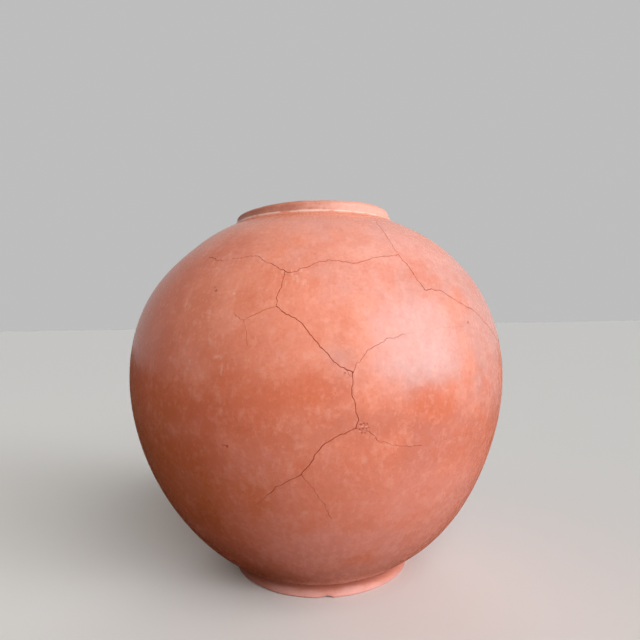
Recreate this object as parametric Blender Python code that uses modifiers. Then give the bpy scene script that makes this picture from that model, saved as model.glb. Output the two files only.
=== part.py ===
"""A globular burnished terracotta vase that once broke and was put together again.

The body wall is turned as one hollow form and then parted along its break lines into the
sherds it really consists of. The base with its low foot and the collar round the mouth are
the potter's own separate pieces, luted to the wall. Metres, +Z up, origin under the foot.
"""

import math

import bmesh
import bpy
from mathutils import Vector

# Body wall
BELLY_RADIUS = 0.140
BELLY_HEIGHT = 0.145
NECK_RADIUS = 0.062
NECK_HEIGHT = 0.2595
HEEL_RADIUS = 0.0645
WALL = 0.007
SHOULDER_FULLNESS = 2.16
UNDERSIDE_FULLNESS = 1.87

# Collar round the mouth
COLLAR_HEIGHT = 0.009
COLLAR_WALL = 0.010
COLLAR_LEAN = 0.0022
LIP_ROUNDING = 0.003
LIP_SHARE = 0.45

# Base with its foot
FOOT_HEIGHT = 0.0064
FOOT_INSET = 0.0011
FOOT_EDGE = 0.0008
PLUG_RISE = 0.0038
REST_WIDTH = 0.0166
RECESS_DEPTH = 0.0015

# Fits
SEAT_GAP = 0.0003
BREAK_GAP = 0.0003
BLADE_OVERRUN = 0.004

# Fineness of the facets
TURN_STEPS = 64
OUTER_STEPS = 26
INNER_STEPS = 18
LIP_STEPS = 4
BREAK_STEP = 6.0
MERGE_DISTANCE = 0.00001

# Break lines on the wall, as bearing and latitude in degrees seen from the belly's centre.
# Bearing 0 is the front (-Y) and 90 is +X. A line that ends at a pole leaves the wall through
# its neck or its heel.
POLE = 90
NECK_POLE = (0, POLE)
HEEL_POLE = (0, -POLE)
SHOULDER_FORK = (-8, 30)
COLLAR_FORK = (27, 35)
BELLY_FORK = (8, 5)
CHIP_FORK = (8, -6)
LOWER_FORK = (-4, -17)
RIGHT_FORK = (62, 11)
REAR_FORK = (84, 4)
FLANK_FORK = (100, -10)

BREAKS = [
    # round the shoulder: the back, the front, and up to the collar
    [SHOULDER_FORK, (-13, 33), (-18, 35), (-29, 34), (-36, 36), (-60, 37), (-95, 33), (-130, 35),
     (-165, 28), (-195, 24), (-230, 17), (-262, 9), (REAR_FORK[0] - 360, REAR_FORK[1])],
    [SHOULDER_FORK, (-6, 30), (2, 33), (11, 32), (18, 34), COLLAR_FORK],
    [COLLAR_FORK, (27, 42), (30, 51), (37, 59), (40, 75), NECK_POLE],
    # down the right side to the heel
    [COLLAR_FORK, (28, 31), (30, 24), (37, 24), (42, 21), (49, 19), (57, 14), RIGHT_FORK],
    [RIGHT_FORK, (73, 8), REAR_FORK, (92, -4), FLANK_FORK, (104, -28), (112, -46), (112, -75), HEEL_POLE],
    # down the front from fork to fork
    [SHOULDER_FORK, (-9, 20), (-5, 18), (1, 11), (6, 6), BELLY_FORK],
    [BELLY_FORK, (7, 1), (9, -5), CHIP_FORK],
    [CHIP_FORK, (4, -8), (-1, -12), (-2, -15), LOWER_FORK],
    # from the front forks to the right side
    [BELLY_FORK, (12, 10), (17, 13), (26, 14), (42, 15), RIGHT_FORK],
    [CHIP_FORK, (14, -10), (19, -12), (36, -11), (60, -13), (80, -9), FLANK_FORK],
    # from the lowest fork to the heel
    [LOWER_FORK, (-15, -25), (-21, -29), (-31, -36), (-36, -48), (-38, -75), HEEL_POLE],
    [LOWER_FORK, (-1, -21), (3, -29), (4, -36), (8, -48), (8, -75), HEEL_POLE],
]

# A place well inside each sherd, by which it is told from the others
SHERDS = {
    "shoulder_sherd": (0, 45),
    "upper_front_sherd": (15, 22),
    "right_belly_sherd": (35, 2),
    "lower_right_sherd": (40, -35),
    "lower_front_sherd": (-12, -40),
    "left_and_back_sherd": (-90, 0),
}

# Colours of the fired clay, linear
BURNISHED_CLAY = (0.54, 0.20, 0.13)
COLLAR_CLAY = (0.45, 0.15, 0.09)
FOOT_CLAY = (0.60, 0.27, 0.19)
CLAY_ROUGHNESS = 0.42
FOOT_ROUGHNESS = 0.65
SHARP_ANGLE = math.radians(35)


def half_height(edge_radius, edge_rise, fullness):
    """Height of a half body that is BELLY_RADIUS wide and passes through its edge."""
    return edge_rise / (1 - (edge_radius / BELLY_RADIUS) ** fullness) ** (1 / fullness)


HEEL_HEIGHT = FOOT_HEIGHT + SEAT_GAP
FLOOR_HEIGHT = HEEL_HEIGHT + PLUG_RISE
FOOT_RADIUS = HEEL_RADIUS - FOOT_INSET
RECESS_RADIUS = FOOT_RADIUS - FOOT_EDGE - REST_WIDTH
MOUTH_RADIUS = NECK_RADIUS - COLLAR_WALL
SHOULDER_RISE = half_height(NECK_RADIUS, NECK_HEIGHT - BELLY_HEIGHT, SHOULDER_FULLNESS)
UNDERSIDE_DROP = half_height(HEEL_RADIUS, BELLY_HEIGHT - HEEL_HEIGHT, UNDERSIDE_FULLNESS)
BELLY_CENTRE = Vector((0, 0, BELLY_HEIGHT))


def reach(latitude, depth):
    """Distance from the belly's centre to the surface that lies depth inside the outer one."""
    above = latitude >= 0
    fullness = SHOULDER_FULLNESS if above else UNDERSIDE_FULLNESS
    rise = (SHOULDER_RISE if above else UNDERSIDE_DROP) - depth
    across = abs(math.cos(latitude)) / (BELLY_RADIUS - depth)
    along = abs(math.sin(latitude)) / rise
    return (across ** fullness + along ** fullness) ** (-1 / fullness)


def section_point(latitude, depth):
    """Radius and height of the wall's section at a latitude in radians."""
    distance = reach(latitude, depth)
    return distance * math.cos(latitude), BELLY_HEIGHT + distance * math.sin(latitude)


def inner_radius(height):
    """Radius of the inner surface below the belly."""
    share = (BELLY_HEIGHT - height) / (UNDERSIDE_DROP - WALL)
    return (BELLY_RADIUS - WALL) * (1 - share ** UNDERSIDE_FULLNESS) ** (1 / UNDERSIDE_FULLNESS)


def inner_height(radius):
    """Height of the inner surface above the belly."""
    share = radius / (BELLY_RADIUS - WALL)
    return BELLY_HEIGHT + (SHOULDER_RISE - WALL) * (1 - share ** SHOULDER_FULLNESS) ** (1 / SHOULDER_FULLNESS)


def latitude_of(radius, height):
    return math.atan2(height - BELLY_HEIGHT, radius)


def evenly(start, end, steps):
    return [start + (end - start) * step / steps for step in range(steps + 1)]


def clay(name, colour, roughness):
    """A plain fired-clay material."""
    material = bpy.data.materials.new(name)
    material.use_nodes = True
    shader = material.node_tree.nodes["Principled BSDF"]
    shader.inputs["Base Color"].default_value = (*colour, 1)
    shader.inputs["Roughness"].default_value = roughness
    shader.inputs["Metallic"].default_value = 0
    return material


def new_collection(name):
    collection = bpy.data.collections.new(name)
    bpy.context.scene.collection.children.link(collection)
    return collection


def turned(name, profile, closed, collection):
    """A piece turned on the Z axis from a profile of radius and height, outer side downwards."""
    mesh = bpy.data.meshes.new(name)
    edges = [(index, index + 1) for index in range(len(profile) - 1)]
    if closed:
        edges.append((len(profile) - 1, 0))
    mesh.from_pydata([(radius, 0, height) for radius, height in profile], edges, [])
    piece = bpy.data.objects.new(name, mesh)
    collection.objects.link(piece)
    screw = piece.modifiers.new("turning", "SCREW")
    screw.axis = "Z"
    screw.steps = TURN_STEPS
    screw.render_steps = TURN_STEPS
    screw.use_merge_vertices = True
    screw.merge_threshold = MERGE_DISTANCE
    screw.use_smooth_shade = True
    return piece


def wall_profile():
    """Outer side from the neck down to the heel, then the inner side back up to the mouth."""
    neck = latitude_of(NECK_RADIUS, NECK_HEIGHT)
    heel = latitude_of(HEEL_RADIUS, HEEL_HEIGHT)
    outer = [section_point(latitude, 0) for latitude in evenly(neck, heel, OUTER_STEPS)]
    floor = latitude_of(inner_radius(FLOOR_HEIGHT), FLOOR_HEIGHT)
    mouth = latitude_of(MOUTH_RADIUS, inner_height(MOUTH_RADIUS))
    inner = [section_point(latitude, WALL) for latitude in evenly(floor, mouth, INNER_STEPS)]
    return outer + [(inner_radius(HEEL_HEIGHT), HEEL_HEIGHT)] + inner + [(MOUTH_RADIUS, NECK_HEIGHT)]


def arc(radius, height, size, start, end):
    """Points on a quarter round of a profile, with its angles in degrees."""
    turns = [math.radians(angle) for angle in evenly(start, end, LIP_STEPS)]
    return [(radius + size * math.cos(turn), height + size * math.sin(turn)) for turn in turns]


def collar_profile():
    """A low ring that leans in a little and ends in a rounded lip."""
    seat = NECK_HEIGHT + SEAT_GAP
    outer_top = NECK_RADIUS - COLLAR_LEAN
    rounding = min(LIP_ROUNDING, LIP_SHARE * (outer_top - MOUTH_RADIUS))
    crown = NECK_HEIGHT + COLLAR_HEIGHT - rounding
    outer_lip = arc(outer_top - rounding, crown, rounding, 90, 0)
    inner_lip = arc(MOUTH_RADIUS + rounding, crown, rounding, 180, 90)
    return outer_lip + [(NECK_RADIUS, seat), (MOUTH_RADIUS, seat)] + inner_lip


def base_profile():
    """A thick floor that plugs the wall's heel, on a low foot with a shallow recess under it."""
    slope = (inner_radius(FLOOR_HEIGHT) - inner_radius(HEEL_HEIGHT)) / PLUG_RISE
    plug_top = inner_radius(FLOOR_HEIGHT) - SEAT_GAP
    plug_root = plug_top - slope * (FLOOR_HEIGHT - FOOT_HEIGHT)
    return [
        (0, FLOOR_HEIGHT),
        (plug_top, FLOOR_HEIGHT),
        (plug_root, FOOT_HEIGHT),
        (FOOT_RADIUS, FOOT_HEIGHT),
        (FOOT_RADIUS, FOOT_EDGE),
        (FOOT_RADIUS - FOOT_EDGE, 0),
        (RECESS_RADIUS, 0),
        (RECESS_RADIUS - RECESS_DEPTH, RECESS_DEPTH),
        (0, RECESS_DEPTH),
    ]


def wall_place(bearing, latitude, depth):
    """Point on the wall at a bearing and latitude in degrees."""
    radius, height = section_point(math.radians(latitude), depth)
    turn = math.radians(bearing)
    return Vector((radius * math.sin(turn), -radius * math.cos(turn), height))


def finer(route):
    """The points of a break line with more between them, so that it follows the round wall."""
    points = [route[0]]
    for (bearing, latitude), (next_bearing, next_latitude) in zip(route, route[1:]):
        if abs(next_latitude) == POLE:
            next_bearing = bearing
        span = max(abs(next_bearing - bearing), abs(next_latitude - latitude))
        steps = max(1, math.ceil(span / BREAK_STEP))
        bearings = evenly(bearing, next_bearing, steps)
        latitudes = evenly(latitude, next_latitude, steps)
        points += list(zip(bearings, latitudes))[1:]
    return points


def break_sheet(collection):
    """The break lines drawn just outside the wall, drawn through it and given their gap."""
    network = bmesh.new()
    corners = {}

    def corner(place):
        key = tuple(round(value / MERGE_DISTANCE) for value in place)
        if key not in corners:
            corners[key] = network.verts.new(place)
        return corners[key]

    for route in BREAKS:
        line = [corner(wall_place(bearing, latitude, -BLADE_OVERRUN)) for bearing, latitude in finer(route)]
        for start, end in zip(line, line[1:]):
            network.edges.new((start, end))
    drawn = bmesh.ops.extrude_edge_only(network, edges=network.edges[:])
    for element in drawn["geom"]:
        if isinstance(element, bmesh.types.BMVert):
            direction = (element.co - BELLY_CENTRE).normalized()
            latitude = math.asin(max(-1, min(1, direction.z)))
            element.co = BELLY_CENTRE + direction * reach(latitude, WALL + BLADE_OVERRUN)
    mesh = bpy.data.meshes.new("break_sheet")
    network.to_mesh(mesh)
    network.free()
    sheet = bpy.data.objects.new("break_sheet", mesh)
    collection.objects.link(sheet)
    sheet.hide_render = True
    sheet.display_type = "WIRE"
    thickness = sheet.modifiers.new("gap", "SOLIDIFY")
    thickness.solidify_mode = "NON_MANIFOLD"
    thickness.nonmanifold_thickness_mode = "EVEN"
    thickness.nonmanifold_merge_threshold = MERGE_DISTANCE
    thickness.thickness = BREAK_GAP
    thickness.offset = 0
    return sheet


def evaluated_mesh(piece):
    depsgraph = bpy.context.evaluated_depsgraph_get()
    return bpy.data.meshes.new_from_object(piece.evaluated_get(depsgraph))


def part_into_sherds(wall, collection):
    """One object for each closed piece that the break lines leave of the wall."""
    broken = evaluated_mesh(wall)
    sherds = []
    for name, (bearing, latitude) in SHERDS.items():
        shape = bmesh.new()
        shape.from_mesh(broken)
        place = wall_place(bearing, latitude, 0)
        first = min(shape.verts, key=lambda vert: (vert.co - place).length)
        kept = {first}
        edge_of_growth = [first]
        while edge_of_growth:
            vert = edge_of_growth.pop()
            for edge in vert.link_edges:
                neighbour = edge.other_vert(vert)
                if neighbour not in kept:
                    kept.add(neighbour)
                    edge_of_growth.append(neighbour)
        others = [vert for vert in shape.verts if vert not in kept]
        bmesh.ops.delete(shape, geom=others, context="VERTS")
        mesh = bpy.data.meshes.new(name)
        shape.to_mesh(mesh)
        shape.free()
        sherd = bpy.data.objects.new(name, mesh)
        collection.objects.link(sherd)
        sherds.append(sherd)
    return sherds


def finish(piece, material, vase):
    """Material, smooth shading with sharp corners, and the vase as parent."""
    piece.data.materials.clear()
    piece.data.materials.append(material)
    piece.data.shade_smooth()
    piece.data.set_sharp_from_angle(angle=SHARP_ANGLE)
    piece.parent = vase


def main():
    for old in list(bpy.data.objects):
        bpy.data.objects.remove(old)
    parts = new_collection("ceramic_vase")
    cutters = new_collection("cutters")
    vase = bpy.data.objects.new("vase", None)
    parts.objects.link(vase)

    wall = turned("wall", wall_profile(), True, cutters)
    wall.hide_render = True
    wall.display_type = "WIRE"
    cut = wall.modifiers.new("breaks", "BOOLEAN")
    cut.operation = "DIFFERENCE"
    cut.solver = "EXACT"
    cut.object = break_sheet(cutters)
    for sherd in part_into_sherds(wall, parts):
        finish(sherd, clay(sherd.name + "_clay", BURNISHED_CLAY, CLAY_ROUGHNESS), vase)

    collar = turned("collar", collar_profile(), True, parts)
    finish(collar, clay("collar_clay", COLLAR_CLAY, CLAY_ROUGHNESS), vase)
    base = turned("base", base_profile(), False, parts)
    finish(base, clay("base_clay", FOOT_CLAY, FOOT_ROUGHNESS), vase)


main()
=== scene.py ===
# %% [markdown]
# A burnished terracotta vase, mended from its sherds
#
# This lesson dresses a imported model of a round, hand-made vase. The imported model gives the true
# sizes and says which pieces there are. Here every piece is modelled again with a fine surface:
# the turned wall is broken along its hairlines into sherds with worn edges, the collar and the
# foot get the small faults of hand work, and the clay gets its mottling, its burnish and its pits.

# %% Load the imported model
import math

import bmesh
import bpy
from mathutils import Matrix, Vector, noise


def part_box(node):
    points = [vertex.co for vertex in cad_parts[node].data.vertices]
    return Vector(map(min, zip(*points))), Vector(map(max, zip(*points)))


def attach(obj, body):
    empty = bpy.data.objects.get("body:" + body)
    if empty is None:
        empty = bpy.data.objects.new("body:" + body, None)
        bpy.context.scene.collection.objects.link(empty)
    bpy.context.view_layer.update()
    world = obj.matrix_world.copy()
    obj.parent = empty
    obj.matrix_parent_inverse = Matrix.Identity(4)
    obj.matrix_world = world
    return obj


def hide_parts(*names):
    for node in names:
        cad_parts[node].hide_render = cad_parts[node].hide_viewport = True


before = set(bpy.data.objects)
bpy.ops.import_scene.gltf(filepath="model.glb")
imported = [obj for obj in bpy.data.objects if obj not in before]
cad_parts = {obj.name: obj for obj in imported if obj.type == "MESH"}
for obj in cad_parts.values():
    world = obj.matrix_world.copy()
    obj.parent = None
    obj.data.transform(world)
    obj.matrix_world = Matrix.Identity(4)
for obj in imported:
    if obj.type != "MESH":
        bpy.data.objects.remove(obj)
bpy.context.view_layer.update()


def corners(node):
    """A node's lowest and highest corner, to a hundredth of a millimetre."""
    return [Vector([round(value, 5) for value in corner]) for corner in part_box(node)]


base_high = corners("base")[1]
collar_low, collar_high = corners("collar")
shoulder_high = corners("shoulder_sherd")[1]
lower_low = corners("lower_front_sherd")[0]

# %% [markdown]
# The section of the wall
#
# A thrown pot is round in plan, so one section through its wall describes it. The upper and the
# lower half are each close to an ellipse, but the shoulder is a little fuller than one and the
# underside a little leaner. A superellipse says that with a single exponent. The neck and the
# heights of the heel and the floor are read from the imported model's boxes, and what a box doesn't
# tell is stated here.

# %% Sizes of the wall
BELLY_HEIGHT = 0.145
BELLY_RADIUS = 0.140
SHOULDER_FULLNESS = 2.16
UNDERSIDE_FULLNESS = 1.87
WALL = 0.007
HEEL_RADIUS = 0.0645
COLLAR_WIDTH = 0.010
SEAT_GAP = 0.0003
NECK_RADIUS = collar_high.x
NECK_HEIGHT = shoulder_high.z
HEEL_HEIGHT = lower_low.z
FLOOR_HEIGHT = base_high.z
MOUTH_RADIUS = NECK_RADIUS - COLLAR_WIDTH
BELLY_CENTRE = Vector((0, 0, BELLY_HEIGHT))


def half_height(edge_radius, edge_rise, fullness):
    """Height of a half body that is as wide as the belly and passes through its edge."""
    return edge_rise / (1 - (edge_radius / BELLY_RADIUS) ** fullness) ** (1 / fullness)


SHOULDER_RISE = half_height(NECK_RADIUS, NECK_HEIGHT - BELLY_HEIGHT, SHOULDER_FULLNESS)
UNDERSIDE_DROP = half_height(HEEL_RADIUS, BELLY_HEIGHT - HEEL_HEIGHT, UNDERSIDE_FULLNESS)


def reach(latitude, depth=0.0):
    """Distance from the belly's centre to the surface that lies depth inside the outer one."""
    above = latitude >= 0
    fullness = SHOULDER_FULLNESS if above else UNDERSIDE_FULLNESS
    rise = (SHOULDER_RISE if above else UNDERSIDE_DROP) - depth
    across = abs(math.cos(latitude)) / (BELLY_RADIUS - depth)
    along = abs(math.sin(latitude)) / rise
    return (across ** fullness + along ** fullness) ** (-1 / fullness)


def section_point(latitude, depth=0.0):
    """Radius and height of the wall's section at a latitude in radians."""
    distance = reach(latitude, depth)
    return distance * math.cos(latitude), BELLY_HEIGHT + distance * math.sin(latitude)


def inner_radius(height):
    share = (BELLY_HEIGHT - height) / (UNDERSIDE_DROP - WALL)
    return (BELLY_RADIUS - WALL) * (1 - share ** UNDERSIDE_FULLNESS) ** (1 / UNDERSIDE_FULLNESS)


def inner_height(radius):
    share = (radius / (BELLY_RADIUS - WALL)) ** SHOULDER_FULLNESS
    return BELLY_HEIGHT + (SHOULDER_RISE - WALL) * (1 - share) ** (1 / SHOULDER_FULLNESS)


def latitude_of(radius, height):
    return math.atan2(height - BELLY_HEIGHT, radius)


def evenly(start, end, steps):
    return [start + (end - start) * step / steps for step in range(steps + 1)]


def wall_place(bearing, latitude, depth=0.0):
    """Point on the wall at a bearing and latitude in degrees: bearing 0 is the front, 90 is +X."""
    radius, height = section_point(math.radians(latitude), depth)
    turn = math.radians(bearing)
    return Vector((radius * math.sin(turn), -radius * math.cos(turn), height))


# %% [markdown]
# The camera
#
# The photograph was taken level, from close by, with the eye at the height of the upper belly.
# The lens and the distance come from the outline: the nearer the eye, the more the belly hides
# the neck and the foot. The picture leans a degree to the left, so the camera is rolled a degree.

# %% Camera
EYE_DISTANCE = 0.404
EYE_HEIGHT = 0.1863
LENS_MM = 28.4
SENSOR_MM = 36
NEAREST = 0.01
CAMERA_ROLL = math.radians(1.0)
CAMERA_TURN = math.radians(-0.51)

camera_data = bpy.data.cameras.new("camera")
camera_data.lens = LENS_MM
camera_data.sensor_width = SENSOR_MM
camera_data.clip_start = NEAREST
camera = bpy.data.objects.new("camera", camera_data)
camera.location = (0, -EYE_DISTANCE, EYE_HEIGHT)
camera.rotation_euler = (math.pi / 2, CAMERA_ROLL, CAMERA_TURN)
bpy.context.scene.collection.objects.link(camera)
bpy.context.scene.camera = camera
print("camera", tuple(round(value, 3) for value in camera.location))

# %% [markdown]
# Working by hand in code
#
# Operators act on whatever is selected, so each piece starts with nothing selected. The helpers
# below are the few moves that every piece needs: start clean, turn a section on the axis, apply
# a modifier, and shade the result.

# %% Helpers for modelling
MERGE_WITHIN = 0.00001


def start_clean():
    """Object mode, with nothing selected."""
    if bpy.context.object and bpy.context.object.mode != "OBJECT":
        bpy.ops.object.mode_set(mode="OBJECT")
    bpy.ops.object.select_all(action="DESELECT")


def take(piece):
    """Makes one piece the selected and active one."""
    start_clean()
    piece.select_set(True)
    bpy.context.view_layer.objects.active = piece


def turn_section(name, section, steps, closed=True):
    """Turns a section of radius and height on the Z axis, as a ring of that many steps."""
    start_clean()
    bpy.ops.mesh.primitive_circle_add(vertices=len(section), radius=1)
    piece = bpy.context.object
    piece.name = name
    piece.data.name = name
    bpy.ops.object.mode_set(mode="EDIT")
    shape = bmesh.from_edit_mesh(piece.data)
    shape.verts.ensure_lookup_table()
    for vert, (radius, height) in zip(shape.verts, section):
        vert.co = (radius, 0, height)
    if not closed:
        first, last = shape.verts[0], shape.verts[-1]
        shape.edges.remove(shape.edges.get((first, last)))
    bmesh.update_edit_mesh(piece.data)
    bpy.ops.mesh.select_all(action="SELECT")
    bpy.ops.mesh.spin(steps=steps, angle=2 * math.pi, center=(0, 0, 0), axis=(0, 0, 1))
    bpy.ops.mesh.select_all(action="SELECT")
    bpy.ops.mesh.remove_doubles(threshold=MERGE_WITHIN)
    bpy.ops.mesh.normals_make_consistent(inside=False)
    bpy.ops.object.mode_set(mode="OBJECT")
    return piece


def apply(piece, modifier):
    take(piece)
    bpy.ops.object.modifier_apply(modifier=modifier.name)


def shade(piece, degrees):
    take(piece)
    bpy.ops.object.shade_smooth_by_angle(angle=math.radians(degrees))


# %% [markdown]
# The whole wall
#
# The wall is turned as one hollow form first, as the potter made it. Its outer side is finer than
# its inner side, because only the outer side catches the light. A pot built by hand is never quite
# round: the left shoulder of this one has sunk by a millimetre or two and its lower right has
# bellied out, and all over it a slow noise moves the wall by a fraction of a millimetre.

# %% Turn the wall
WALL_STEPS = 400
OUTER_RINGS = 150
INNER_RINGS = 50
WOBBLE = 0.00030
WOBBLE_SCALE = 16.0
SEAT_ZONE = 0.02
SUNKEN = (wall_place(-75, 46), 0.040, -0.0019)
BELLIED = (wall_place(72, -49), 0.048, 0.0024)


def wall_section():
    neck = latitude_of(NECK_RADIUS, NECK_HEIGHT)
    heel = latitude_of(HEEL_RADIUS, HEEL_HEIGHT)
    outer = [section_point(latitude) for latitude in evenly(neck, heel, OUTER_RINGS)]
    floor = latitude_of(inner_radius(FLOOR_HEIGHT), FLOOR_HEIGHT)
    mouth = latitude_of(MOUTH_RADIUS, inner_height(MOUTH_RADIUS))
    inner = [section_point(latitude, WALL) for latitude in evenly(floor, mouth, INNER_RINGS)]
    heel_inside = (inner_radius(HEEL_HEIGHT), HEEL_HEIGHT)
    return outer + [heel_inside] + inner + [(MOUTH_RADIUS, NECK_HEIGHT)]


def uneven(place):
    """A place on the even wall, moved to where the hand-made wall is."""
    seat = min(NECK_HEIGHT - place.z, place.z - HEEL_HEIGHT)
    freedom = max(0.0, min(1.0, seat / SEAT_ZONE))
    shift = WOBBLE * noise.noise(place * WOBBLE_SCALE)
    for middle, width, amount in (SUNKEN, BELLIED):
        shift += amount * math.exp(-((place - middle).length / width) ** 2)
    return place + (place - BELLY_CENTRE).normalized() * shift * freedom


wall = turn_section("wall", wall_section(), WALL_STEPS)
for vert in wall.data.vertices:
    vert.co = uneven(vert.co)
print("wall:", len(wall.data.polygons), "faces")

# %% [markdown]
# The break lines
#
# The hairlines of the photograph meet in forks, as breaks do. Each line is a short list of places
# on the wall, read as bearing and latitude like on a globe. The fine zigzag between those places is
# added by a noise. The last word of each line is its width: the front breaks stand open and the
# side branches are faint. A guessed course is closed on the front, and faint on the flank and back.

# %% Where the wall broke
SHOULDER_FORK = (-8, 30)
COLLAR_FORK = (26.7, 35.3)
LEFT_FORK = (-9, 20.5)
BELLY_FORK = (8, 5.5)
CHIP_FORK = (8.5, -6.5)
LOWER_FORK = (-4, -17)
RIGHT_FORK = (62, 11)
REAR_FORK = (84, 4)
FLANK_FORK = (100, -10)

OPEN = 0.82
THIN = 0.66
FAINT = 0.44
HAIR = 0.34
SHUT = 0.22
CLOSED = 0.10

BREAKS = [
    ([SHOULDER_FORK, (-13, 32.7), (-16, 34.5), (-18.3, 35.4), (-23.6, 35)], THIN),
    ([(-23.6, 35), (-26, 35)], FAINT),
    ([(-26, 35), (-29, 34.3)], CLOSED),
    ([(-29, 34.3), (-31, 34.8), (-36, 36.5)], THIN),
    ([(-36, 36.5), (-60, 37), (-78, 35)], CLOSED),
    ([(-78, 35), (-95, 33), (-130, 35), (-165, 28), (-195, 24), (-230, 17), (-262, 9),
      (REAR_FORK[0] - 360, REAR_FORK[1])], FAINT),
    ([SHOULDER_FORK, (-6, 29.6), (-1.7, 31.3), (2.2, 32.9), (6.2, 33), (11.2, 32.2), (18, 34),
      COLLAR_FORK], THIN),
    ([COLLAR_FORK, (27, 42), (30, 51), (37, 59)], FAINT),
    ([(37, 59), (40, 75)], CLOSED),
    ([COLLAR_FORK, (28.4, 30.6), (29.3, 26.5), (30, 24.5), (33, 24.8), (37, 24), (42, 21), (49, 19),
      (57, 14), RIGHT_FORK], OPEN),
    ([RIGHT_FORK, (73, 8), REAR_FORK, (92, -4), FLANK_FORK, (104, -28), (112, -46),
      (112, -75)], FAINT),
    ([SHOULDER_FORK, (-8.7, 25.5), (-9.4, 22.2), LEFT_FORK], THIN),
    ([LEFT_FORK, (-7, 18.7), (-4.6, 17.8), (-2.3, 15.2), (1, 11.4), (3.5, 8.3), (6.3, 6.1),
      BELLY_FORK], OPEN),
    ([BELLY_FORK, (7.5, 1.4), (8.3, -2.5), (9, -4.7), CHIP_FORK], OPEN),
    ([CHIP_FORK, (6, -7.7), (3.7, -8.5), (1.1, -10.5), (-0.7, -12.3), (-1.7, -14.5),
      LOWER_FORK], OPEN),
    ([BELLY_FORK, (8.8, 7.4), (11.5, 10.3), (17, 12.8), (21, 13.4)], FAINT),
    ([(21, 13.4), (26, 14.4), (42, 15), RIGHT_FORK], CLOSED),
    ([CHIP_FORK, (11.5, -7.6), (13.7, -10), (19, -11.7), (25, -12.3)], FAINT),
    ([(25, -12.3), (36, -11.2), (60, -13), (80, -9), FLANK_FORK], CLOSED),
    ([LOWER_FORK, (-6.9, -18.7), (-10.3, -21), (-12.4, -22.6)], THIN),
    ([(-12.4, -22.6), (-15, -25), (-19, -27), (-21.3, -28.6)], SHUT),
    ([(-21.3, -28.6), (-31, -36), (-36, -48), (-38, -75)], CLOSED),
    ([LOWER_FORK, (-1.2, -21.2), (1.7, -25.9), (3.2, -29.5)], FAINT),
    ([(3.2, -29.5), (3.6, -33.3), (8, -48), (8, -75)], CLOSED),
]

# %% Draw the break lines and give them a wedge-shaped blade
BREAK_GAP = 0.00090
BLADE_STEP = 0.45
BLADE_OVERLAP = 0.15
ZIGZAG = 0.40
ZIGZAG_SCALE = 0.36
ZIGZAG_FINE = 3.0
ZIGZAG_FINE_SHARE = 0.8
OUTSIDE = 1.0015
WORN = 0.9975
THROUGH = 0.93
INNER_SHARE = 0.10
WEAR = 0.85
WEAR_CHANGE = 0.35
WEAR_SCALE = 160
APART = Vector((31, 17, 5))


def zigzag(bearing, latitude):
    """A small wander of a break line, the same for lines that meet at one place."""
    spot = Vector((bearing, latitude, 0)) * ZIGZAG_SCALE
    sideways = noise.noise(spot) + ZIGZAG_FINE_SHARE * noise.noise(spot * ZIGZAG_FINE)
    upwards = noise.noise(spot + APART) + ZIGZAG_FINE_SHARE * noise.noise(spot * ZIGZAG_FINE + APART)
    return bearing + ZIGZAG * sideways, latitude + ZIGZAG * upwards


def beyond(place, before):
    """A place a little past the end of a line, so that lines which meet overlap."""
    step = Vector(place) - Vector(before)
    return tuple(Vector(place) + step.normalized() * BLADE_OVERLAP)


def finer(route):
    """The places of a break line with many more between them, and one past each end."""
    places = [beyond(route[0], route[1]), route[0]]
    for start, end in zip(route, route[1:]):
        span = max(abs(end[0] - start[0]), abs(end[1] - start[1]))
        steps = max(1, math.ceil(span / BLADE_STEP))
        places += list(zip(evenly(start[0], end[0], steps), evenly(start[1], end[1], steps)))[1:]
    return places + [beyond(route[-1], route[-2])]


def combine(piece, other, operation, keep=False):
    """Adds one closed shape to another or takes it away, and then keeps the other or throws it away."""
    step = piece.modifiers.new("combine", "BOOLEAN")
    step.operation = operation
    step.solver = "EXACT"
    step.object = other
    apply(piece, step)
    if not keep:
        bpy.data.objects.remove(other)


def make_blade(name, route, width, depth):
    """A thin wedge along a line, wide at the surface and narrow below it, down to a depth."""
    line = [zigzag(bearing % 360, latitude) for bearing, latitude in finer(route)]
    places = [uneven(wall_place(*spot)) for spot in line]
    places = [BELLY_CENTRE + (place - BELLY_CENTRE) * OUTSIDE for place in places]
    count = len(places)
    mesh = bpy.data.meshes.new(name)
    mesh.from_pydata(places, [(point, point + 1) for point in range(count - 1)], [])
    blade = bpy.data.objects.new(name, mesh)
    bpy.context.scene.collection.objects.link(blade)
    take(blade)
    bpy.ops.object.mode_set(mode="EDIT")
    bpy.ops.mesh.select_all(action="SELECT")
    for share in (WORN / OUTSIDE, depth / WORN):
        bpy.ops.mesh.extrude_edges_move()
        bpy.ops.transform.resize(value=(share, share, share), center_override=BELLY_CENTRE)
    bpy.ops.object.mode_set(mode="OBJECT")
    group = blade.vertex_groups.new(name="width")
    for vert in blade.data.vertices:
        wear = WEAR + WEAR_CHANGE * noise.noise(vert.co * WEAR_SCALE)
        share = wear if vert.index < count else INNER_SHARE
        group.add([vert.index], min(1.0, width * share), "REPLACE")
    thicken = blade.modifiers.new("thicken", "SOLIDIFY")
    thicken.solidify_mode = "NON_MANIFOLD"
    thicken.nonmanifold_thickness_mode = "EVEN"
    thicken.thickness = BREAK_GAP
    thicken.offset = 0
    thicken.vertex_group = "width"
    thicken.thickness_vertex_group = 0
    apply(blade, thicken)
    return blade


def make_blades(name, routes, depth):
    """The wedges of several lines, united into one shape."""
    blades = None
    for route, width in routes:
        blade = make_blade(name, route, width, depth)
        if blades is None:
            blades = blade
        else:
            combine(blades, blade, "UNION")
    print(name, len(blades.data.polygons), "faces")
    return blades


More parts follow.
